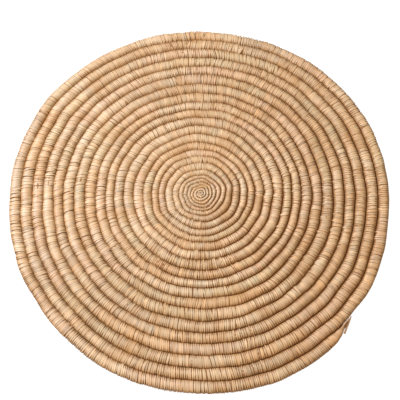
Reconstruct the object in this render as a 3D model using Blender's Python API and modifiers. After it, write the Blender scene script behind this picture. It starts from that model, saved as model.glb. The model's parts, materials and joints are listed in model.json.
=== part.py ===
"""Raffia trivet: a long bundle of grass, wrapped in raffia, wound flat in a spiral and stitched to itself.

The mat is one solid. Its coil shows as a ridge on both faces and as the rounded rim, and its last
stretch thins to a blunt tail. Three loose ends of the wrapping raffia stand by the tail.
Lengths are in metres, +Z is up, the mat rests on z = 0 and the origin is under the middle of its outline.
"""

import math

import bmesh
import bpy
from mathutils import Matrix, Vector

MM = 0.001

# The coil, turn by turn, where each turn passes the angle of the tail.
# Columns: turns from the middle, radius of the coil's outer edge in mm, height of the coil in mm.
TURNS = (
    (0, 0.0, 4.0),
    (1, 1.6, 4.0),
    (2, 4.0, 4.0),
    (3, 6.4, 4.0),
    (4, 8.8, 4.1),
    (5, 11.5, 4.2),
    (6, 14.3, 4.3),
    (7, 18.2, 4.6),
    (8, 23.9, 5.2),
    (9, 29.7, 5.5),
    (10, 35.1, 5.5),
    (11, 40.5, 5.6),
    (12, 47.6, 6.2),
    (13, 54.4, 6.3),
    (14, 62.5, 6.8),
    (15, 69.6, 6.7),
    (16, 76.3, 6.8),
    (17, 84.3, 7.0),
    (18, 92.2, 7.1),
    (19, 100.8, 7.3),
    (20, 109.2, 7.3),
    (21, 117.2, 7.3),
    (22, 125.7, 7.4),
    (23, 134.6, 7.5),
    (24, 143.4, 7.5),
    (25, 152.0, 7.5),
)
TURN_COUNT = TURNS[-1][0]
END_RADIUS = TURNS[-1][1] * MM

# How far the rim stands out from an even spiral. Hand winding leaves it a little out of round.
# Columns: angle from +X in degrees, distance in mm.
OUT_OF_ROUND = (
    (-45, 0.8),
    (-30, 2.0),
    (-10, 0.6),
    (20, 1.5),
    (50, 0.6),
    (80, -2.5),
    (110, -1.6),
    (140, 0.2),
    (170, -1.0),
    (200, -2.0),
    (230, -1.3),
    (260, 0.4),
    (290, 1.8),
    (315, 0.8),
)
OUT_OF_ROUND_FADE = 4

# The section across one coil, from its inner groove over the top, round its outer side and back beneath.
# Columns: place across the coil (0 inner edge, 1 outer edge), face, sink below that face as a share
# of the groove's depth.
SECTION = (
    (0.0, "top", 1.0),
    (0.2, "top", 0.26),
    (0.5, "top", 0.0),
    (0.8, "top", 0.26),
    (1.0, "top", 1.0),
    (1.0, "side", 0.0),
    (1.0, "under", 1.0),
    (0.72, "under", 0.0),
    (0.28, "under", 0.0),
    (0.0, "under", 1.0),
)
TOP_GROOVE = 0.33
UNDER_GROOVE = 0.28
RIM_ACROSS = 0.92
RIM_SINK = 0.6
SIDE_HEIGHT = 0.47

# The spiral starts at the tail's angle and runs counter-clockwise, seen from above.
TAIL_ANGLE = math.radians(-45)
TAIL_LENGTH = 22 * MM
TAIL_WIDTH = 0.55
TAIL_HEIGHT = 0.7
CENTRE = Vector((1.2, 3.7, 0.0)) * MM

# Steps round one turn. The inner turns are small, so they keep fewer of the steps.
STEPS = 48
# Columns: number of turns up to which the row holds, and one step is kept there out of this many.
KEPT_STEPS = (
    (5, 4),
    (13, 2),
    (TURN_COUNT + 1, 1),
)
ROWS = TURN_COUNT * STEPS
LAST_TURN_ROW = ROWS - STEPS
WELD = 0.001 * MM

# Loose ends of raffia by the tail, each a flat strip bent along three places.
# Columns of each place: way past the tail's end in mm, way out from the coil beside it in mm, height in mm.
STRANDS = (
    ("loose_strand_1", ((0.7, 1.9, 5.6), (3.0, 1.6, 5.3), (6.0, 1.3, 4.8))),
    ("loose_strand_2", ((0.7, 3.3, 3.4), (4.0, 2.9, 3.6), (7.6, 1.9, 3.6))),
    ("loose_strand_3", ((-3.8, 7.6, 1.6), (1.6, 4.6, 2.9), (8.8, 2.4, 3.2))),
)
STRAND_WIDTH = 1.4 * MM
STRAND_THICKNESS = 0.4 * MM
STRAND_STEPS = 6


def between(table, at, column):
    """Value of a table's column at a place in its first column, on a straight line between two rows."""
    for low, high in zip(table, table[1:]):
        if at <= high[0]:
            share = (at - low[0]) / (high[0] - low[0])
            return low[column] + share * (high[column] - low[column])
    return table[-1][column]


def coil_angle(turns):
    return TAIL_ANGLE + 2 * math.pi * turns


def edge_radius(turns):
    """Radius of the coil's outer edge, that many turns from the middle."""
    if turns <= 0:
        return 0.0
    even = between(TURNS, turns, 1) * MM
    degrees = math.degrees(TAIL_ANGLE) + 360 * (turns % 1)
    return even + between(OUT_OF_ROUND, degrees, 1) * MM * (even / END_RADIUS) ** OUT_OF_ROUND_FADE


def tail_share(turns, last):
    """1 along the whole coil, falling to the share called last over the tail."""
    from_end = (TURN_COUNT - turns) * 2 * math.pi * END_RADIUS
    bend = max(0.0, 1 - from_end / TAIL_LENGTH)
    return 1 - (1 - last) * bend * bend


def kept_row(row):
    """The row whose place this row takes, so that the small inner turns have fewer steps."""
    stride = next(each for turns, each in KEPT_STEPS if row < turns * STEPS)
    return max(0, row - row % stride)


def coil_place(row, column):
    """The point of the mat's surface at one step along the coil and one column of its section."""
    across, face, sink = SECTION[column]
    on_rim = row > LAST_TURN_ROW and across == 1.0
    if across == 0.0:
        row -= STEPS
        across = 1.0
    turns = kept_row(row) / STEPS
    inner = edge_radius(turns - 1)
    width = (edge_radius(turns) - inner) * tail_share(turns, TAIL_WIDTH)
    height = between(TURNS, turns, 2) * MM * tail_share(turns, TAIL_HEIGHT)
    if on_rim and face != "side":
        across = RIM_ACROSS
        sink = RIM_SINK
    radius = inner + across * width
    if face == "top":
        z = height - sink * TOP_GROOVE * width
    elif face == "under":
        z = sink * UNDER_GROOVE * width
    else:
        z = SIDE_HEIGHT * height
    angle = coil_angle(turns)
    return CENTRE + Vector((radius * math.cos(angle), radius * math.sin(angle), z))


def material(name, colour, roughness):
    finish = bpy.data.materials.new(name)
    finish.use_nodes = True
    shader = finish.node_tree.nodes["Principled BSDF"]
    shader.inputs["Base Color"].default_value = (*colour, 1.0)
    shader.inputs["Roughness"].default_value = roughness
    shader.inputs["Metallic"].default_value = 0.0
    return finish


def add_object(name, mesh, finish, collection):
    mesh.materials.append(finish)
    node = bpy.data.objects.new(name, mesh)
    collection.objects.link(node)
    return node


def coil_mat(finish, collection):
    """The wound mat: a long grid laid along the coil and round its section, welded where the turns meet."""
    columns = len(SECTION) - 1
    build = bmesh.new()
    spread = Matrix.Diagonal((ROWS / 2, columns / 2, 1, 1))
    bmesh.ops.create_grid(build, x_segments=ROWS, y_segments=columns, size=1, matrix=spread)
    side = [at for at, row in enumerate(SECTION) if row[1] == "side"][0]
    sewn = []
    for face in build.faces:
        middle = face.calc_center_median()
        beside = abs(middle.y + columns / 2 - side) < 1
        if beside and middle.x + ROWS / 2 < LAST_TURN_ROW:
            sewn.append(face)
    bmesh.ops.delete(build, geom=sewn, context="FACES")
    for point in build.verts:
        point.co = coil_place(round(point.co.x + ROWS / 2), round(point.co.y + columns / 2))
    bmesh.ops.remove_doubles(build, verts=build.verts, dist=WELD)
    open_edges = [edge for edge in build.edges if edge.is_boundary]
    bmesh.ops.holes_fill(build, edges=open_edges, sides=0)
    bmesh.ops.recalc_face_normals(build, faces=build.faces)
    mesh = bpy.data.meshes.new("coil_mat")
    build.to_mesh(mesh)
    build.free()
    mesh.shade_smooth()
    return add_object("coil_mat", mesh, finish, collection)


def beside_tail(along, out, height):
    """A place by the tail, from its ways past the tail's end and out from the turn inside it."""
    angle = coil_angle(TURN_COUNT) + along / END_RADIUS
    radius = edge_radius(TURN_COUNT - 1 + along / END_RADIUS / (2 * math.pi)) + out
    return CENTRE + Vector((radius * math.cos(angle), radius * math.sin(angle), height))


def bent(places, share):
    """A place along a smooth bend through three places, with the middle one halfway."""
    first, middle, last = (beside_tail(*(value * MM for value in place)) for place in places)
    pull = 2 * middle - (first + last) / 2
    return first * (1 - share) ** 2 + pull * 2 * share * (1 - share) + last * share**2


def loose_strand(name, places, finish, collection):
    """A flat strip of raffia, upright beside the coil."""
    build = bmesh.new()
    spread = Matrix.Diagonal((STRAND_STEPS / 2, 0.5, 1, 1))
    bmesh.ops.create_grid(build, x_segments=STRAND_STEPS, y_segments=1, size=1, matrix=spread)
    for point in build.verts:
        share = point.co.x / STRAND_STEPS + 0.5
        up = Vector((0, 0, point.co.y * STRAND_WIDTH))
        point.co = bent(places, share) + up
    mesh = bpy.data.meshes.new(name)
    build.to_mesh(mesh)
    build.free()
    strip = add_object(name, mesh, finish, collection)
    wall = strip.modifiers.new("thickness", "SOLIDIFY")
    wall.thickness = STRAND_THICKNESS
    wall.offset = 0.0
    return strip


def main():
    for old in list(bpy.data.objects):
        bpy.data.objects.remove(old)
    collection = bpy.data.collections.new("raffia_trivet")
    bpy.context.scene.collection.children.link(collection)
    coil_mat(material("raffia", (0.62, 0.43, 0.25), 0.75), collection)
    loose = material("loose_raffia", (0.68, 0.47, 0.31), 0.7)
    for name, places in STRANDS:
        loose_strand(name, places, loose, collection)


main()
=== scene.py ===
import json
import math
import random

import bpy
import numpy as np
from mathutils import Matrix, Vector, noise

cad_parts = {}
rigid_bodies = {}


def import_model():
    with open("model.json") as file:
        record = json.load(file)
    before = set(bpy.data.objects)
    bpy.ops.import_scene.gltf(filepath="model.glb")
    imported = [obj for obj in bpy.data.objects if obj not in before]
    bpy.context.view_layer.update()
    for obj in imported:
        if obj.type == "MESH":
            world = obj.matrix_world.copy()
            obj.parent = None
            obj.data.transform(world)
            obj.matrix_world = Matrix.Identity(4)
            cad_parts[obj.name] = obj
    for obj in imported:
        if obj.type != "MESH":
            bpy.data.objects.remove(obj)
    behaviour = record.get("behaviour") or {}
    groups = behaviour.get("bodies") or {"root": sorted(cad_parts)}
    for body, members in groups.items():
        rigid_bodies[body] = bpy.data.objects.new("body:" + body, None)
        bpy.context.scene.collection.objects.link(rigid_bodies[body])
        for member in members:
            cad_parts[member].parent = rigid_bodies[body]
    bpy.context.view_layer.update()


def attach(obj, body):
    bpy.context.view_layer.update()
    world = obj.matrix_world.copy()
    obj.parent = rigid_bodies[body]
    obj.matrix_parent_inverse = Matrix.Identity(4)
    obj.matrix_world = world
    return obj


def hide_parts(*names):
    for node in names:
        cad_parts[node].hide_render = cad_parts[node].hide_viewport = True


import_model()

MM = 0.001
bpy.ops.object.select_all(action="DESELECT")


# Camera
# The photo looks down at the mat from the front, so the circle is a little flattened. The lens and
# the distance come from how much smaller the far side of the spiral shows than the near side.

CAMERA_HEIGHT_ANGLE = math.radians(68.7)
CAMERA_DISTANCE = 628 * MM
LENS_SHARE = 820 / 400
SENSOR = 36.0
AIM = Vector((0.6, -2.2, 5.0)) * MM

back = Vector((0, -math.cos(CAMERA_HEIGHT_ANGLE), math.sin(CAMERA_HEIGHT_ANGLE)))
bpy.ops.object.camera_add(location=AIM + back * CAMERA_DISTANCE)
camera = bpy.context.object
camera.name = "photo_camera"
camera.rotation_euler = (math.pi / 2 - CAMERA_HEIGHT_ANGLE, 0, 0)
camera.data.sensor_width = SENSOR
camera.data.lens = LENS_SHARE * SENSOR
camera.data.clip_start = 0.01
bpy.context.scene.camera = camera


# Floor and light
# A plain pale surface that the mat rests on. One soft key light stands at the left, a little to the
# back, and a pale room lights the rest.

FLOOR_SIZE = 40.0
FLOOR_SHADE = 0.15
FLOOR_ROUGHNESS = 0.8
FLOOR_GLOW = 0.96

bpy.ops.mesh.primitive_plane_add(size=FLOOR_SIZE, location=(0, 0, 0))
floor = bpy.context.object
floor.name = "floor"
floor_finish = bpy.data.materials.new("pale_floor")
floor_finish.use_nodes = True
floor_shader = floor_finish.node_tree.nodes["Principled BSDF"]
floor_shader.inputs["Base Color"].default_value = (FLOOR_SHADE, FLOOR_SHADE, FLOOR_SHADE, 1)
floor_shader.inputs["Roughness"].default_value = FLOOR_ROUGHNESS
floor_shader.inputs["Emission Color"].default_value = (1, 1, 1, 1)
floor_shader.inputs["Emission Strength"].default_value = FLOOR_GLOW
floor.data.materials.append(floor_finish)
# The floor's own glow hides the mat's shadow, as in the photo, and lights nothing else.
floor_alone = bpy.data.collections.new("floor_alone")
floor_alone.objects.link(floor)
floor.light_linking.receiver_collection = floor_alone

KEY_DIRECTION = math.radians(154)
KEY_ELEVATION = math.radians(44)
KEY_DISTANCE = 1.0
KEY_SIZE = 0.43
KEY_COLOUR = (0.94, 1.03, 1.19)
KEY_POWER = 12.35
ROOM_COLOUR = (1.02, 0.875, 0.665)
# The room is bright above the front left and dim at the other side. It changes along this direction,
# from the first place to the second.
ROOM_TO_BRIGHT = (-0.5, -0.72, 0.58)
ROOM_CHANGE = (-0.6, 0.9)
ROOM_DIM = 0.42
ROOM_BRIGHT = 1.12

level = math.cos(KEY_ELEVATION)
toward_key = Vector(
    (level * math.cos(KEY_DIRECTION), level * math.sin(KEY_DIRECTION), math.sin(KEY_ELEVATION))
)
bpy.ops.object.light_add(type="AREA", location=toward_key * KEY_DISTANCE)
key = bpy.context.object
key.name = "key_light"
key.data.size = KEY_SIZE
key.data.energy = KEY_POWER
key.data.color = KEY_COLOUR
key.rotation_euler = toward_key.to_track_quat("Z", "Y").to_euler()

room = bpy.data.worlds.new("pale_room")
room.use_nodes = True
room_tree = room.node_tree
toward = room_tree.nodes.new("ShaderNodeTexCoord")
side = room_tree.nodes.new("ShaderNodeVectorMath")
side.operation = "DOT_PRODUCT"
side.inputs[1].default_value = ROOM_TO_BRIGHT
room_tree.links.new(toward.outputs["Generated"], side.inputs[0])
strength = room_tree.nodes.new("ShaderNodeMapRange")
strength.inputs["From Min"].default_value = ROOM_CHANGE[0]
strength.inputs["From Max"].default_value = ROOM_CHANGE[1]
strength.inputs["To Min"].default_value = ROOM_DIM
strength.inputs["To Max"].default_value = ROOM_BRIGHT
room_tree.links.new(side.outputs["Value"], strength.inputs["Value"])
room_tree.links.new(strength.outputs[0], room_tree.nodes["Background"].inputs["Strength"])
room_tree.nodes["Background"].inputs["Color"].default_value = (*ROOM_COLOUR, 1)
bpy.context.scene.world = room
bpy.context.scene.view_settings.view_transform = "Standard"


# Grass core
# A long bundle of dry grass, as thick as the coil inside its wrap. It is wound flat from the middle
# outwards, and each turn is sewn against the one inside it, so the bundles press into each other.

# Columns: turns from the middle, radius of the coil's outer edge in mm, height of the coil in mm.
TURNS = (
    (0, 0.0, 4.0),
    (1, 1.6, 4.0),
    (2, 4.0, 4.0),
    (3, 6.4, 4.0),
    (4, 8.8, 4.1),
    (5, 11.5, 4.2),
    (6, 14.3, 4.3),
    (7, 18.2, 4.6),
    (8, 23.9, 5.2),
    (9, 29.7, 5.5),
    (10, 35.1, 5.5),
    (11, 40.5, 5.6),
    (12, 47.6, 6.2),
    (13, 54.4, 6.3),
    (14, 62.5, 6.8),
    (15, 69.6, 6.7),
    (16, 76.3, 6.8),
    (17, 84.3, 7.0),
    (18, 92.2, 7.1),
    (19, 100.8, 7.3),
    (20, 109.2, 7.3),
    (21, 117.2, 7.3),
    (22, 125.7, 7.4),
    (23, 134.6, 7.5),
    (24, 143.4, 7.5),
    (25, 152.0, 7.5),
)
TURN_COUNT = TURNS[-1][0]
END_RADIUS = TURNS[-1][1] * MM
# Columns: angle from +X in degrees, distance that the rim stands out from an even spiral in mm.
OUT_OF_ROUND = (
    (-45, 2.2),
    (-40, 2.2),
    (-30, 3.5),
    (-20, 1.6),
    (-10, 0.3),
    (5, 0.7),
    (20, 1.9),
    (30, 1.2),
    (50, 0.2),
    (60, -0.4),
    (80, -2.7),
    (100, -2.3),
    (120, -2.1),
    (135, -1.6),
    (145, 0.0),
    (155, -1.0),
    (175, -2.0),
    (182, -2.9),
    (198, -2.6),
    (205, -1.9),
    (215, -2.5),
    (225, -2.0),
    (245, 0.2),
    (265, 0.6),
    (275, 0.9),
    (290, 2.4),
    (300, 1.1),
    (309, 0.7),
    (315, 2.2),
)
OUT_OF_ROUND_FADE = 4
TAIL_ANGLE = math.radians(-45)
TAIL_LENGTH = 22 * MM
TAIL_WIDTH = 0.28
TAIL_HEIGHT = 0.6
CENTRE = Vector((1.2, 3.7, 0.0)) * MM

# A hand guides the coil, so its edges waver.
# Columns: radius in mm, distance and length of the waver in mm.
WAVER = (
    (0, 0.7, 4),
    (8, 1.2, 6),
    (25, 1.3, 10),
    (60, 1.1, 14),
    (130, 1.0, 17),
    (160, 0.4, 17),
)
WAVER_LAYER = 0.02

# The core starts this many turns from the middle. Its steps are a way along the coil, and a share of
# a turn where that is shorter.
CORE_START = 0.6
CORE_STEP = 4 * MM
CORE_TURN_STEP = 1 / 24
CORE_ROUNDNESS = 2
CORE_UNDER_WRAP = 0.4 * MM
CORE_PRESS = 0.15 * MM
# The grass core's own brown, kept dark so that where it shows in the gaps and grooves it is also painted
# shade.
CORE_BROWN_AND_GAP_SHADE = (0.20, 0.085, 0.025)
CORE_PALE = (0.36, 0.19, 0.07)
CORE_ROUGHNESS = 0.85
FLECK_SCALE = 900.0
FLECK_BUMP = 0.5
FLECK_DEPTH = 0.3 * MM
# The bundle thins out under the loose ends.
# Columns: way past the tail's end, half width and half height in mm.
CORE_TIP = ((2.0, 1.2, 2.0), (4.5, 0.9, 1.6), (7.0, 0.45, 0.8))
CORE_TIP_HEIGHT = 3.2 * MM


def between(table, at, column):
    """Value of a table's column at a place in its first column, on a straight line between two rows."""
    for low, high in zip(table, table[1:]):
        if at <= high[0]:
            share = (at - low[0]) / (high[0] - low[0])
            return low[column] + share * (high[column] - low[column])
    return table[-1][column]


def edge_radius(turns):
    """Radius of the coil's outer edge, that many turns from the middle."""
    if turns <= 0:
        return 0.0
    even = between(TURNS, turns, 1) * MM
    degrees = math.degrees(TAIL_ANGLE) + 360 * (turns % 1)
    even += between(OUT_OF_ROUND, degrees, 1) * MM * (even / END_RADIUS) ** OUT_OF_ROUND_FADE
    angle = TAIL_ANGLE + 2 * math.pi * turns
    waver = between(WAVER, even / MM, 1) * MM
    length = between(WAVER, even / MM, 2) * MM
    place = Vector((even * math.cos(angle), even * math.sin(angle), WAVER_LAYER))
    return even + waver * noise.noise(place / length)


def tail_share(turns, last):
    """1 along the whole coil, falling to the share called last over the tail."""
    from_end = (TURN_COUNT - turns) * 2 * math.pi * END_RADIUS
    bend = max(0.0, 1 - from_end / TAIL_LENGTH)
    return 1 - (1 - last) * bend * bend


def coil_at(turns):
    """Middle, width and height of the coil, that many turns from the middle."""
    angle = TAIL_ANGLE + 2 * math.pi * turns
    inner = edge_radius(turns - 1)
    width = (edge_radius(turns) - inner) * tail_share(turns, TAIL_WIDTH)
    height = between(TURNS, turns, 2) * MM * tail_share(turns, TAIL_HEIGHT)
    radius = inner + width / 2
    middle = CENTRE + Vector((radius * math.cos(angle), radius * math.sin(angle), height / 2))
    return middle, width, height


def add_node(tree, kind, inputs=(), **settings):
    """A node with its settings, and its inputs set to numbers or linked to sockets."""
    node = tree.nodes.new(kind)
    for name, value in settings.items():
        setattr(node, name, value)
    for at, value in inputs:
        if isinstance(value, bpy.types.NodeSocket):
            tree.links.new(value, node.inputs[at])
        else:
            node.inputs[at].default_value = value
    return node


def ramp(tree, value, low, high, first, last):
    """A smooth change from first to last while value goes from low to high."""
    return add_node(
        tree, "ShaderNodeMapRange",
        (("Value", value), ("From Min", low), ("From Max", high), ("To Min", first), ("To Max", last)),
        interpolation_type="SMOOTHSTEP",
    ).outputs[0]


def mixed(tree, share, first, last):
    """First colour turning into the last by a share."""
    return add_node(tree, "ShaderNodeMix", ((0, share), (6, first), (7, last)), data_type="RGBA").outputs[2]


def grass_material(name):
    """Dry grass, its fibres in pale and dark flecks. Its dark brown is also painted shade where it shows
    between the wraps.
    """
    finish = bpy.data.materials.new(name)
    finish.use_nodes = True
    tree = finish.node_tree
    shader = tree.nodes["Principled BSDF"]
    on_mat = add_node(tree, "ShaderNodeTexCoord").outputs["Object"]
    flecks = add_node(
        tree, "ShaderNodeTexNoise", (("Vector", on_mat), ("Scale", FLECK_SCALE), ("Detail", 3.0))
    ).outputs["Fac"]
    pale = ramp(tree, flecks, 0.45, 0.7, 0.0, 1.0)
    toned = mixed(tree, pale, (*CORE_BROWN_AND_GAP_SHADE, 1), (*CORE_PALE, 1))
    tree.links.new(toned, shader.inputs["Base Color"])
    shader.inputs["Roughness"].default_value = CORE_ROUGHNESS
    bump = add_node(
        tree, "ShaderNodeBump", (("Height", flecks), ("Strength", FLECK_BUMP), ("Distance", FLECK_DEPTH))
    )
    tree.links.new(bump.outputs[0], shader.inputs["Normal"])
    return finish


core_places = []
turns = CORE_START
while turns < TURN_COUNT:
    middle, width, height = coil_at(turns)
    half_width = width / 2 + CORE_PRESS
    # Nothing presses on the last turn's outer side, so the core stays under its wrap there.
    if turns > TURN_COUNT - 1:
        side = CORE_PRESS + CORE_UNDER_WRAP
        middle = middle - (middle - CENTRE).normalized() * side / 2
        half_width -= side / 2
    core_places.append((middle, half_width, height / 2 - CORE_UNDER_WRAP))
    turns += min(CORE_TURN_STEP, CORE_STEP / (2 * math.pi * max(edge_radius(turns), MM)))

for along, half_width, half_height in CORE_TIP:
    angle = TAIL_ANGLE + along * MM / END_RADIUS
    radius = edge_radius(TURN_COUNT - 1 + along * MM / END_RADIUS / (2 * math.pi)) + half_width * MM
    middle = CENTRE + Vector((radius * math.cos(angle), radius * math.sin(angle), CORE_TIP_HEIGHT))
    core_places.append((middle, half_width * MM, half_height * MM))

bpy.ops.curve.primitive_nurbs_path_add()
core = bpy.context.object
core.name = "grass_core"
core.data.splines.clear()
core.data.bevel_depth = 1.0
core.data.bevel_resolution = CORE_ROUNDNESS
route = core.data.splines.new("POLY")
route.points.add(len(core_places) - 1)
for point, (middle, half_width, _) in zip(route.points, core_places):
    point.co = (*middle, 1)
    point.radius = half_width
bpy.ops.object.convert(target="MESH")
sides = len(core.data.vertices) // len(core_places)
for at, vertex in enumerate(core.data.vertices):
    middle, half_width, half_height = core_places[min(at // sides, len(core_places) - 1)]
    vertex.co.z = middle.z + (vertex.co.z - middle.z) * half_height / half_width
bpy.ops.object.mode_set(mode="EDIT")
bpy.ops.mesh.select_all(action="DESELECT")
bpy.ops.mesh.select_non_manifold()
bpy.ops.mesh.fill()
bpy.ops.mesh.select_all(action="SELECT")
bpy.ops.mesh.normals_make_consistent(inside=False)
bpy.ops.object.mode_set(mode="OBJECT")
core.data.materials.append(grass_material("dry_grass"))
core.data.shade_smooth()
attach(core, "root")
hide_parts("coil_mat")


# Raffia wraps
# Strips of raffia, wound round the core one beside the other from the middle to the tail. Each strip
# covers 28 to 60 mm of coil and has its own tone. Where they are pulled less tight, gaps open.

WRAP_SEED = 11
WRAP_SIDES = 16
WRAP_PITCH = 1.42 * MM
TAIL_BARE = 3.0 * MM
INNER_PITCH = 1.2 * MM
INNER_RADIUS = 22 * MM
WRAPS_A_PIECE = 1700
# The wrapping starts this many turns from the middle, at this radius.
WRAP_START = 0.35
WRAP_START_RADIUS = 0.5 * MM

# Forms of a wrap. Columns: name, drop from its back to its edges and narrowing at the coil's sides as
# shares of its half height and its width, share of the wraps.
WRAP_FORMS = (
    ("wrap_form_1", 0.045, 0.08, 0.20),
    ("wrap_form_2", 0.075, 0.20, 0.20),
    ("wrap_form_3", 0.105, 0.34, 0.20),
    ("wrap_form_4", 0.140, 0.50, 0.20),
    ("wrap_form_5", 0.180, 0.66, 0.20),
)
# Columns: place sideways as a share of the half width, share of the narrowing that is taken there.
NARROWING_STEPS = (
    (0.3, 0.3),
    (0.6, 0.4),
    (0.85, 0.5),
)
WRAP_UNEVEN = 0.006
# The coil is a little fuller than round, in two steps toward its corners.
WRAP_SQUARE = 1.035
SQUARE_STEPS = (0.3, 0.6)
# The strips lie flatter on the coil's back than at its sides, by this share of their drop.
WRAP_FLAT = 0.3
FLAT_STEPS = (0.3, 0.75)

# Tones of the strips. Columns: name, colour, share of the strips.
RAFFIA_TONES = (
    ("straw", (0.525, 0.353, 0.203), 0.34),
    ("cream", (0.561, 0.390, 0.237), 0.16),
    ("greenish", (0.508, 0.357, 0.204), 0.10),
    ("pinkish", (0.537, 0.353, 0.214), 0.14),
    ("orange_tan", (0.525, 0.331, 0.176), 0.16),
    ("grey_tan", (0.479, 0.327, 0.196), 0.10),
)

# Joints that show: a new strip is laid in at a slant.
# Columns: turns from the middle, slant in degrees, swelling as a share of the height, gap before it as a
# share of the pitch, tone, length in mm.
JOINTS = (
    (7.775, 24, 0.16, 0.15, "orange_tan", 4.5),
    (8.270, -26, 0.04, 0.35, "straw", 40),
    (9.180, -8, 0.05, 0.40, "orange_tan", 30),
    (15.09, 5, 0.03, 0.40, "greenish", 34),
    (17.06, 6, 0.04, 0.30, "pinkish", 42),
    (21.60, 20, 0.08, 0.35, "cream", 38),
    (23.330, -30, 0.02, 0.60, "straw", 45),
    (23.60, 20, 0.05, 0.30, "grey_tan", 6),
    (24.130, 3, 0.03, 0.40, "orange_tan", 10),
    (24.895, -12, 0.03, 0.45, "straw", 50),
    (24.978, 8, 0.03, 0.35, "orange_tan", 50),
)
JOINT_FADE = 3.5 * MM
# Strips whose joints don't show: least and largest length in mm, spread of the slant in degrees, largest
# swelling and largest gap as shares of the height and the pitch.
STRIP_LENGTH = (28, 60)
STRIP_SLANT = 7.0
STRIP_SWELLING = 0.04
STRIP_GAP = 0.3
# How far strips differ in light, and in lean in degrees.
STRIP_LIGHT = 0.03
STRIP_LEAN = 4.0

# A stitch is a wrap that also takes hold of the turn inside it, so it bridges the groove.
STITCH_REACH = 0.8 * MM
STITCH_NARROW = 0.9
STITCH_LOW = 0.97
# Share of the wraps that are stitches: anywhere, added by a patch, added at the far side, and at most.
STITCH_SHARE = 0.02
STITCH_BY_PATCH = 0.6
STITCH_AT_FAR_SIDE = 0.25
STITCH_MOST = 0.5
STITCH_PATCH_SIZE = 30 * MM
STITCH_LAYER = 0.07
FAR_SIDE_FROM = 0.6

# The winding differs from side to side. Columns: angle from +X in degrees, widening where the turns are
# pressed together as a share of the coil, and how much closer the wraps lie.
SIDES = (
    (-45, -0.05, -0.15),
    (0, -0.055, -0.1),
    (45, 0.015, -0.1),
    (90, 0.14, 0.04),
    (135, 0.105, 0.06),
    (180, 0.115, 0.12),
    (225, 0.095, -0.12),
    (270, 0.065, -0.1),
    (315, -0.05, -0.15),
)
# The inner turns are wrapped more closely: the winding is as open as elsewhere only from this radius
# on, and down to this share of it at the middle.
OPEN_RADIUS = 70 * MM
OPEN_INNER = 0.6

# Hand work is uneven: these change slowly along the coil.
# Columns: way along the coil in metres over which it changes, layer of the noise.
LEAN_CHANGE = (0.045, 3.1)
LUMP_CHANGE = (0.02, 9.7)
OPEN_CHANGE = (0.03, 21.3)
TONE_CHANGE = (0.009, 5.3)
TONE_PATCH_SIZE = 16 * MM
TONE_BY_PLACE = 0.6

# How open the winding is, from 0 to 1: its mean, its part by strip and by slow change, spread of a wrap.
OPEN_MEAN = 0.27
OPEN_BY_STRIP = 0.3
OPEN_BY_CHANGE = 0.42
OPEN_SPREAD = 0.26
# Least and largest width of a wrap as a share of the pitch.
WIDTH_RANGE = (0.8, 1.24)
# Way from one wrap to the next as a share of the width: closely wound, added when open, spread.
STEP_CLOSE = 0.91
STEP_BY_OPEN = 0.13
STEP_SPREAD = 0.015
# Lean of a wrap along the coil in degrees, and its tilt.
LEAN_MEAN = 4
LEAN_BY_CHANGE = 16
LEAN_SPREAD = 1.7
TILT_SPREAD = 2.8
# Width and height of a wrap round the coil, as shares of the coil's.
WIDE_BY_LUMP = 0.05
WIDE_SPREAD = 0.007
HIGH_MEAN = 0.99
HIGH_BY_LUMP = 0.03
HIGH_SPREAD = 0.009
# Light and warmth of a wrap's colour, as shares of its strip's tone.
LIGHT_BY_PATCH = 0.085
LIGHT_SPREAD = 0.08
WARMTH_BY_PATCH = 0.085
WARMTH_SPREAD = 0.022
# Painted shade in the seams beside a wrap: closely wound, added when open, and the range it is multiplied
# by.
SEAM_CLOSE = 0.5
SEAM_BY_OPEN = 0.45
SEAM_RANGE = (0.5, 1.2)
# A short way to both sides, in turns, that shows where the coil heads.
HEADING_STEP = 0.002

# Painted shade in brown for the grooves. The loose ends also use this brown for their fibre streaks.
SHADE_AND_STREAK_BROWN = (0.46, 0.205, 0.042)
# Painted shade in dark brown: the seams between wraps, the bottom of the groove and the loose ends' edges.
DARK_SHADE_BROWN = (0.22, 0.095, 0.028)
STAIN_BROWN = (0.40, 0.215, 0.08)
STAIN_SCALE = 70.0
STAIN_FROM = 0.49
STAIN_FULL = 0.77
STAIN_SHARE = 0.7
FIBRE_STRETCH = (6.0, 0.9, 0.9)
FIBRE_SHIFT = (31.0, 17.0, 23.0)
FIBRE_DARK = 0.84
FIBRE_BRIGHT = 1.14
FIBRE_BUMP = 0.4
FIBRE_DEPTH = 0.2 * MM
# Painted shade darkens the seams toward the edges of a wrap. It is lighter on the coil's back and full at
# its sides, where shade falls.
SEAM_FROM = 0.18
SEAM_FULL = 0.46
SEAM_SHADE_ON_BACK = 0.5
SEAM_SHADE_AT_SIDE = 1.25
BACK_TO = 0.1
SIDE_FROM = 0.75
# Shares of the painted shade, brown and then dark brown, toward the bottom of the groove, and where each
# starts across the coil.
GROOVE_SHADE_SHARE = 0.52
GROOVE_SHADE_FROM = 0.5
DEEP_SHADE_SHARE = 0.45
DEEP_SHADE_FROM = 0.85
RAFFIA_ROUGHNESS = 0.48
RAFFIA_GLOSS = 0.55


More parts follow.
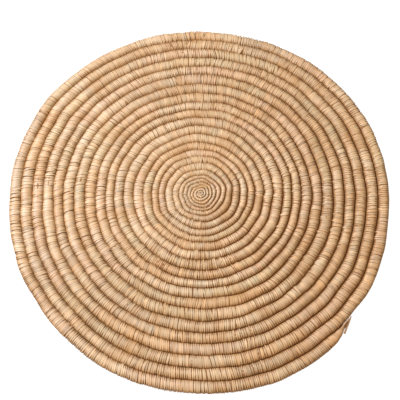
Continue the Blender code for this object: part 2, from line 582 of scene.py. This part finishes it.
def raffia_material(name):
    """Raffia with fibres along the strip, with painted shade along the strip's edges and down in the
    grooves.
    """
    finish = bpy.data.materials.new(name)
    finish.use_nodes = True
    tree = finish.node_tree
    shader = tree.nodes["Principled BSDF"]
    colour = add_node(tree, "ShaderNodeAttribute", attribute_name="raffia_colour").outputs["Color"]
    seed = add_node(tree, "ShaderNodeAttribute", attribute_name="wrap_seed").outputs["Fac"]
    place = add_node(tree, "ShaderNodeAttribute", attribute_name="on_wrap").outputs["Vector"]
    on_mat = add_node(tree, "ShaderNodeTexCoord").outputs["Object"]
    apart = add_node(tree, "ShaderNodeSeparateXYZ", ((0, place),))

    stretched = add_node(
        tree, "ShaderNodeVectorMath", ((0, place), (1, FIBRE_STRETCH)), operation="MULTIPLY"
    )
    moved = add_node(tree, "ShaderNodeVectorMath", ((0, seed), (1, FIBRE_SHIFT)), operation="MULTIPLY")
    own = add_node(
        tree, "ShaderNodeVectorMath", ((0, stretched.outputs[0]), (1, moved.outputs[0])), operation="ADD"
    )
    fibres = add_node(
        tree, "ShaderNodeTexNoise", (("Vector", own.outputs[0]), ("Scale", 1.0), ("Detail", 3.0))
    ).outputs["Fac"]
    light = ramp(tree, fibres, 0.25, 0.75, FIBRE_DARK, FIBRE_BRIGHT)
    toned = add_node(
        tree, "ShaderNodeVectorMath", ((0, colour), (1, light)), operation="MULTIPLY"
    ).outputs[0]

    stain = add_node(
        tree, "ShaderNodeTexNoise", (("Vector", on_mat), ("Scale", STAIN_SCALE), ("Detail", 2.0))
    ).outputs["Fac"]
    stained = ramp(tree, stain, STAIN_FROM, STAIN_FULL, 0.0, STAIN_SHARE)
    toned = mixed(tree, stained, toned, (*STAIN_BROWN, 1))

    along = add_node(tree, "ShaderNodeMath", ((0, apart.outputs["X"]),), operation="ABSOLUTE").outputs[0]
    sideways = add_node(tree, "ShaderNodeMath", ((0, apart.outputs["Y"]),), operation="ABSOLUTE").outputs[0]
    # Painted shade in the seams between wraps, stronger at the coil's sides than on its back.
    seam_darkness = add_node(tree, "ShaderNodeAttribute", attribute_name="wrap_seam_shade").outputs["Fac"]
    seam_shade_by_side = ramp(tree, sideways, BACK_TO, SIDE_FROM, SEAM_SHADE_ON_BACK, SEAM_SHADE_AT_SIDE)
    seam_shade_weight = add_node(tree, "ShaderNodeMath", ((0, seam_shade_by_side), (1, seam_darkness)), operation="MULTIPLY").outputs[0]
    seam_shade = ramp(tree, along, SEAM_FROM, SEAM_FULL, 0.0, 1.0)
    seam_shade = add_node(tree, "ShaderNodeMath", ((0, seam_shade), (1, seam_shade_weight)), operation="MULTIPLY").outputs[0]
    toned = mixed(tree, seam_shade, toned, (*DARK_SHADE_BROWN, 1))
    # Painted shade: the coil's sides turn brown toward the groove.
    painted_groove_shade = ramp(tree, sideways, GROOVE_SHADE_FROM, 1.0, 0.0, GROOVE_SHADE_SHARE)
    toned = mixed(tree, painted_groove_shade, toned, (*SHADE_AND_STREAK_BROWN, 1))
    # Painted shade: darker brown still at the bottom of the groove.
    painted_deep_shade = ramp(tree, sideways, DEEP_SHADE_FROM, 1.0, 0.0, DEEP_SHADE_SHARE)
    toned = mixed(tree, painted_deep_shade, toned, (*DARK_SHADE_BROWN, 1))
    tree.links.new(toned, shader.inputs["Base Color"])
    shader.inputs["Roughness"].default_value = RAFFIA_ROUGHNESS
    shader.inputs["Specular IOR Level"].default_value = RAFFIA_GLOSS
    bump = add_node(
        tree, "ShaderNodeBump", (("Height", fibres), ("Strength", FIBRE_BUMP), ("Distance", FIBRE_DEPTH))
    )
    tree.links.new(bump.outputs[0], shader.inputs["Normal"])
    return finish


def pick_points(piece, wanted):
    """Select the points of the open mesh whose place is wanted."""
    bpy.ops.mesh.select_mode(type="VERT")
    bpy.ops.mesh.select_all(action="DESELECT")
    bpy.ops.object.mode_set(mode="OBJECT")
    for point in piece.data.vertices:
        point.select = wanted(point.co)
    bpy.ops.object.mode_set(mode="EDIT")


def wrap_form(name, drop, narrowing, finish):
    """One wrap of a coil that runs along X: a band with a rounded back, closed beneath."""
    bpy.ops.object.select_all(action="DESELECT")
    bpy.ops.mesh.primitive_circle_add(vertices=WRAP_SIDES, radius=1, rotation=(0, math.pi / 2, 0))
    form = bpy.context.object
    form.name = name
    bpy.ops.object.transform_apply(location=False, rotation=True, scale=False)
    bpy.ops.object.mode_set(mode="EDIT")
    for reach in SQUARE_STEPS:
        pick_points(form, lambda place: min(abs(place.y), abs(place.z)) > reach)
        bpy.ops.transform.resize(value=(1, WRAP_SQUARE, WRAP_SQUARE), center_override=(0, 0, 0))
    for way in (-0.5, 0.5):
        pick_points(form, lambda place: abs(place.x) < 0.1)
        bpy.ops.mesh.extrude_region_move(TRANSFORM_OT_translate={"value": (way, 0, 0)})
        bpy.ops.transform.resize(value=(1, 1 - drop, 1 - drop), center_override=(0, 0, 0))
    for height in FLAT_STEPS:
        pick_points(form, lambda place: abs(place.x) > 0.4 and place.z > height)
        bpy.ops.transform.resize(value=(1, 1, 1 + WRAP_FLAT * drop), center_override=(0, 0, 0))
    pick_points(form, lambda place: abs(place.x) > 0.4)
    bpy.ops.mesh.bridge_edge_loops()
    bpy.ops.mesh.select_all(action="SELECT")
    bpy.ops.mesh.normals_make_consistent(inside=False)
    bpy.ops.object.mode_set(mode="OBJECT")
    places = np.array([point.co for point in form.data.vertices], dtype=np.float32)
    marks = form.data.attributes.new("on_wrap", "FLOAT_VECTOR", "POINT")
    marks.data.foreach_set("vector", places.ravel())
    bpy.ops.object.mode_set(mode="EDIT")
    for reach, share in NARROWING_STEPS:
        pick_points(form, lambda place: abs(place.y) > reach)
        bpy.ops.transform.resize(value=(1 - share * narrowing, 1, 1), center_override=(0, 0, 0))
    bpy.ops.mesh.select_all(action="SELECT")
    bpy.ops.transform.vertex_random(offset=WRAP_UNEVEN, seed=len(name) + round(1000 * drop))
    bpy.ops.object.mode_set(mode="OBJECT")
    form.data.materials.append(finish)
    form.data.shade_smooth()
    bpy.ops.object.mode_set(mode="EDIT")
    pick_points(form, lambda place: abs(place.x) > 0.1)
    bpy.ops.mesh.mark_sharp()
    bpy.ops.object.mode_set(mode="OBJECT")
    return form


def lay_wraps_nodes(forms):
    """Geometry nodes that put one of the forms on each point, turned and sized by its attributes."""
    group = bpy.data.node_groups.new("lay_wraps", "GeometryNodeTree")
    group.interface.new_socket("Geometry", in_out="INPUT", socket_type="NodeSocketGeometry")
    group.interface.new_socket("Geometry", in_out="OUTPUT", socket_type="NodeSocketGeometry")
    start = group.nodes.new("NodeGroupInput")
    end = group.nodes.new("NodeGroupOutput")
    named = {}
    for name, kind in (("form", "INT"), ("wrap_turn", "FLOAT_VECTOR"), ("wrap_size", "FLOAT_VECTOR")):
        named[name] = add_node(
            group, "GeometryNodeInputNamedAttribute", (("Name", name),), data_type=kind
        ).outputs["Attribute"]
    turn = add_node(group, "FunctionNodeEulerToRotation", ((0, named["wrap_turn"]),))
    source = add_node(
        group, "GeometryNodeCollectionInfo",
        (("Collection", forms), ("Separate Children", True), ("Reset Children", True)),
    )
    laid = add_node(
        group, "GeometryNodeInstanceOnPoints",
        (("Points", start.outputs[0]), ("Instance", source.outputs[0]), ("Pick Instance", True),
         ("Instance Index", named["form"]), ("Rotation", turn.outputs[0]), ("Scale", named["wrap_size"])),
    )
    real = add_node(group, "GeometryNodeRealizeInstances", ((0, laid.outputs[0]),))
    group.links.new(real.outputs[0], end.inputs[0])
    return group


def pick_row(table, draw):
    """Row of a table whose last column holds shares, by a draw from 0 to 1."""
    for row in table:
        draw -= row[-1]
        if draw < 0:
            return row
    return table[0]


def stitch_share(place):
    """Share of the wraps that are stitches at a place of the mat."""
    out = place - CENTRE
    far_side = max(0.0, out.y / max(out.length, MM) - FAR_SIDE_FROM) / (1 - FAR_SIDE_FROM)
    patch = noise.noise(Vector((place.x, place.y, STITCH_LAYER)) / STITCH_PATCH_SIZE)
    share = STITCH_SHARE + STITCH_BY_PATCH * patch + STITCH_AT_FAR_SIDE * far_side
    return min(STITCH_MOST, max(0.0, share))


def change(travelled, kind):
    """A slow change, from -1 to 1, at this way along the coil."""
    length, layer = kind
    return noise.noise(Vector((travelled / length, layer, 0.0)))


def coil_wraps():
    """Place, turn, size, openness, colour, seed and painted seam shade of each wrap, from the middle out.
    """
    draw = random.Random(WRAP_SEED)
    tones = {row[0]: row[1] for row in RAFFIA_TONES}
    joints = list(JOINTS)
    wraps = []
    turns = WRAP_START
    radius = WRAP_START_RADIUS
    travelled = 0.0
    strip_end = 0.0
    last_width = INNER_PITCH
    while turns < TURN_COUNT - TAIL_BARE / (2 * math.pi * END_RADIUS):
        shown = bool(joints) and turns >= joints[0][0]
        if shown or travelled >= strip_end:
            tone = tones[pick_row(RAFFIA_TONES, draw.random())[0]]
            slant = draw.gauss(0.0, STRIP_SLANT)
            swelling = draw.uniform(0.0, STRIP_SWELLING)
            gap = draw.uniform(0.0, STRIP_GAP)
            length = draw.uniform(*STRIP_LENGTH)
            if shown:
                _, slant, swelling, gap, tone_name, length = joints.pop(0)
                tone = tones[tone_name]
            strip_light = draw.gauss(1.0, STRIP_LIGHT)
            strip_lean = draw.gauss(0.0, STRIP_LEAN)
            strip_open = draw.random()
            strip_start = travelled
            strip_end = travelled + length * MM
            turns += gap * WRAP_PITCH / (2 * math.pi * max(radius, MM))
        leaning = change(travelled, LEAN_CHANGE)
        lump = change(travelled, LUMP_CHANGE)
        opening = change(travelled, OPEN_CHANGE)
        degrees = math.degrees(TAIL_ANGLE) + 360 * (turns % 1)
        inner = OPEN_INNER + (1 - OPEN_INNER) * min(1.0, radius / OPEN_RADIUS)
        opened = OPEN_MEAN + OPEN_BY_STRIP * strip_open + OPEN_BY_CHANGE * opening
        opened = opened - between(SIDES, degrees, 2) + draw.gauss(0.0, OPEN_SPREAD)
        open_share = min(0.999, max(0.0, inner * opened))
        wrap_width = (INNER_PITCH if radius < INNER_RADIUS else WRAP_PITCH) * draw.uniform(*WIDTH_RANGE)
        step_share = STEP_CLOSE + STEP_BY_OPEN * open_share + draw.gauss(0.0, STEP_SPREAD)
        step = (last_width + wrap_width) / 2 * step_share
        turns += step / (2 * math.pi * max(radius, MM))
        travelled += step
        last_width = wrap_width
        place, width, height = coil_at(turns)
        radius = (place - CENTRE).to_2d().length
        ahead = coil_at(turns + HEADING_STEP)[0] - coil_at(turns - HEADING_STEP)[0]
        fresh = max(0.0, 1 - (travelled - strip_start) / JOINT_FADE)
        stitched = draw.random() < stitch_share(place)
        lean = LEAN_MEAN + strip_lean + slant * fresh + LEAN_BY_CHANGE * leaning
        lean = math.radians(lean + draw.gauss(0.0, LEAN_SPREAD))
        wide = 1.0 + WIDE_BY_LUMP * lump + between(SIDES, degrees, 1) + draw.gauss(0.0, WIDE_SPREAD)
        high = HIGH_MEAN + HIGH_BY_LUMP * lump + swelling * fresh + draw.gauss(0.0, HIGH_SPREAD)
        size = (wrap_width, width / 2 * wide / math.cos(lean), height / 2 * high)
        if stitched:
            size = (size[0] * STITCH_NARROW, size[1] + STITCH_REACH / 2, size[2] * STITCH_LOW)
            place -= (place - CENTRE).to_2d().to_3d().normalized() * STITCH_REACH / 2
        place.z = size[2]
        turn = (0.0, math.radians(draw.gauss(0.0, TILT_SPREAD)), math.atan2(ahead.y, ahead.x) + lean)
        patch = change(travelled, TONE_CHANGE) + TONE_BY_PLACE * noise.noise(place / TONE_PATCH_SIZE)
        light = strip_light * (1.0 + LIGHT_BY_PATCH * patch) * draw.gauss(1.0, LIGHT_SPREAD)
        warmth = (1.0 - WARMTH_BY_PATCH * patch) * draw.gauss(1.0, WARMTH_SPREAD)
        colour = (light * tone[0] * warmth, light * tone[1], light * tone[2] / warmth, 1.0)
        # Painted shade in the seams, deeper where the winding is open.
        seam_shade = min(1.0, (SEAM_CLOSE + SEAM_BY_OPEN * open_share) * draw.uniform(*SEAM_RANGE))
        wraps.append((place, turn, size, open_share, colour, draw.random(), seam_shade))
    return wraps


raffia = raffia_material("raffia")
forms = bpy.data.collections.new("wrap_forms")
bpy.context.scene.collection.children.link(forms)
for name, drop, narrowing, _ in WRAP_FORMS:
    made = wrap_form(name, drop, narrowing, raffia)
    for held in list(made.users_collection):
        held.objects.unlink(made)
    forms.objects.link(made)
lay_wraps = lay_wraps_nodes(forms)
form_names = [row[0] for row in WRAP_FORMS]
all_wraps = coil_wraps()

for first in range(0, len(all_wraps), WRAPS_A_PIECE):
    some = all_wraps[first:first + WRAPS_A_PIECE]
    name = f"raffia_wraps_{first // WRAPS_A_PIECE + 1}"
    mesh = bpy.data.meshes.new(name)
    mesh.from_pydata([wrap[0] for wrap in some], [], [])
    for title, kind, field, values in (
        ("wrap_turn", "FLOAT_VECTOR", "vector", [wrap[1] for wrap in some]),
        ("wrap_size", "FLOAT_VECTOR", "vector", [wrap[2] for wrap in some]),
        ("raffia_colour", "FLOAT_COLOR", "color", [wrap[4] for wrap in some]),
        ("wrap_seed", "FLOAT", "value", [wrap[5] for wrap in some]),
        ("wrap_seam_shade", "FLOAT", "value", [wrap[6] for wrap in some]),
    ):
        marks = mesh.attributes.new(title, kind, "POINT")
        marks.data.foreach_set(field, np.array(values, dtype=np.float32).ravel())
    marks = mesh.attributes.new("form", "INT", "POINT")
    chosen = [form_names.index(pick_row(WRAP_FORMS, wrap[3])[0]) for wrap in some]
    marks.data.foreach_set("value", np.array(chosen, dtype=np.int32))
    piece = bpy.data.objects.new(name, mesh)
    bpy.context.scene.collection.objects.link(piece)
    bpy.ops.object.select_all(action="DESELECT")
    piece.select_set(True)
    bpy.context.view_layer.objects.active = piece
    piece.modifiers.new("lay", "NODES").node_group = lay_wraps
    bpy.ops.object.modifier_apply(modifier="lay")
    for title in ("wrap_turn", "wrap_size", "form"):
        piece.data.attributes.remove(piece.data.attributes[title])
    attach(piece, "root")
    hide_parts("coil_mat")
for made in list(forms.objects):
    bpy.data.objects.remove(made)
bpy.data.collections.remove(forms)


# Loose raffia ends
# Three ends of the wrapping raffia, cut short by the tail. They are thin strips that curl a little
# across, and they lie free beside the coil.

# Columns of each place: way past the tail's end, way out from the coil beside it, and height, in mm.
LOOSE_ENDS = (
    ("loose_strand_1", ((-5.0, 2.3, 5.0), (-0.5, 0.9, 5.4), (4.5, 0.2, 5.2))),
    ("loose_strand_2", ((-4.8, 3.7, 4.0), (0.8, 1.5, 4.4), (7.2, 0.2, 4.6))),
    ("loose_strand_3", ((-3.5, 5.6, 2.2), (3.2, 2.4, 3.3), (9.6, 0.3, 3.8))),
)
LOOSE_WIDTH = 1.6 * MM
LOOSE_THICKNESS = 0.22 * MM
LOOSE_CURL = 0.25 * MM
LOOSE_TIP_UP = math.radians(32)
LOOSE_STEPS = 14
LOOSE_STEPS_ACROSS = 4
LOOSE_TAPER = 0.45
LOOSE_COLOUR = (0.54, 0.35, 0.23)
LOOSE_STRETCH = (3.0, 14.0, 1.0)
LOOSE_STREAK_SHARE = 0.5
LOOSE_EDGE_SHADE_SHARE = 0.6
LOOSE_ROUGHNESS = 0.52
LOOSE_GLOSS = 0.4


def beside_tail(along, out, height):
    """A place by the tail, from its ways past the tail's end and out from the turn inside it."""
    angle = TAIL_ANGLE + along / END_RADIUS
    radius = edge_radius(TURN_COUNT - 1 + along / END_RADIUS / (2 * math.pi)) + out
    return CENTRE + Vector((radius * math.cos(angle), radius * math.sin(angle), height))


def bent(places, share):
    """A place along a smooth bend through three places, with the middle one halfway."""
    first, middle, last = (beside_tail(*(value * MM for value in place)) for place in places)
    pull = 2 * middle - (first + last) / 2
    return first * (1 - share) ** 2 + pull * 2 * share * (1 - share) + last * share**2


def loose_raffia_material():
    """Raffia cut short: streaked along the strip, with painted shade darkening its edges."""
    finish = bpy.data.materials.new("loose_raffia")
    finish.use_nodes = True
    tree = finish.node_tree
    shader = tree.nodes["Principled BSDF"]
    strip = add_node(tree, "ShaderNodeUVMap").outputs[0]
    stretched = add_node(
        tree, "ShaderNodeVectorMath", ((0, strip), (1, LOOSE_STRETCH)), operation="MULTIPLY"
    )
    fibres = add_node(
        tree, "ShaderNodeTexNoise", (("Vector", stretched.outputs[0]), ("Scale", 1.0), ("Detail", 3.0))
    ).outputs["Fac"]
    streaks = ramp(tree, fibres, 0.35, 0.75, 0.0, LOOSE_STREAK_SHARE)
    toned = mixed(tree, streaks, (*LOOSE_COLOUR, 1), (*SHADE_AND_STREAK_BROWN, 1))
    apart = add_node(tree, "ShaderNodeSeparateXYZ", ((0, strip),))
    off = add_node(tree, "ShaderNodeMath", ((0, apart.outputs["Y"]), (1, 0.5)), operation="SUBTRACT")
    off = add_node(tree, "ShaderNodeMath", ((0, off.outputs[0]),), operation="ABSOLUTE").outputs[0]
    # Painted shade: the strip darkens toward its edges, where the strands lie close.
    toned = mixed(tree, ramp(tree, off, 0.3, 0.5, 0.0, LOOSE_EDGE_SHADE_SHARE), toned, (*DARK_SHADE_BROWN, 1))
    tree.links.new(toned, shader.inputs["Base Color"])
    shader.inputs["Roughness"].default_value = LOOSE_ROUGHNESS
    shader.inputs["Specular IOR Level"].default_value = LOOSE_GLOSS
    bump = add_node(
        tree, "ShaderNodeBump", (("Height", fibres), ("Strength", FIBRE_BUMP), ("Distance", FIBRE_DEPTH))
    )
    tree.links.new(bump.outputs[0], shader.inputs["Normal"])
    return finish


loose_raffia = loose_raffia_material()
for name, places in LOOSE_ENDS:
    bpy.ops.object.select_all(action="DESELECT")
    bpy.ops.mesh.primitive_grid_add(x_subdivisions=LOOSE_STEPS, y_subdivisions=LOOSE_STEPS_ACROSS, size=1)
    strip = bpy.context.object
    strip.name = f"raffia_{name}"
    for point in strip.data.vertices:
        share, across = point.co.x + 0.5, point.co.y
        here = bent(places, share)
        ahead = (bent(places, share + 0.01) - bent(places, share - 0.01)).normalized()
        out = ahead.cross(Vector((0, 0, 1))).normalized()
        taper = 1 - LOOSE_TAPER * share**3
        curl = LOOSE_CURL * (1 - 4 * across * across)
        wide = out * math.cos(LOOSE_TIP_UP) - Vector((0, 0, math.sin(LOOSE_TIP_UP)))
        proud = out * math.sin(LOOSE_TIP_UP) + Vector((0, 0, math.cos(LOOSE_TIP_UP)))
        point.co = here + wide * across * LOOSE_WIDTH * taper + proud * curl
    strip.data.materials.append(loose_raffia)
    wall = strip.modifiers.new("thickness", "SOLIDIFY")
    wall.thickness = LOOSE_THICKNESS
    wall.offset = 0.0
    bpy.ops.object.modifier_apply(modifier="thickness")
    strip.data.shade_smooth()
    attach(strip, "root")
    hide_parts(name)
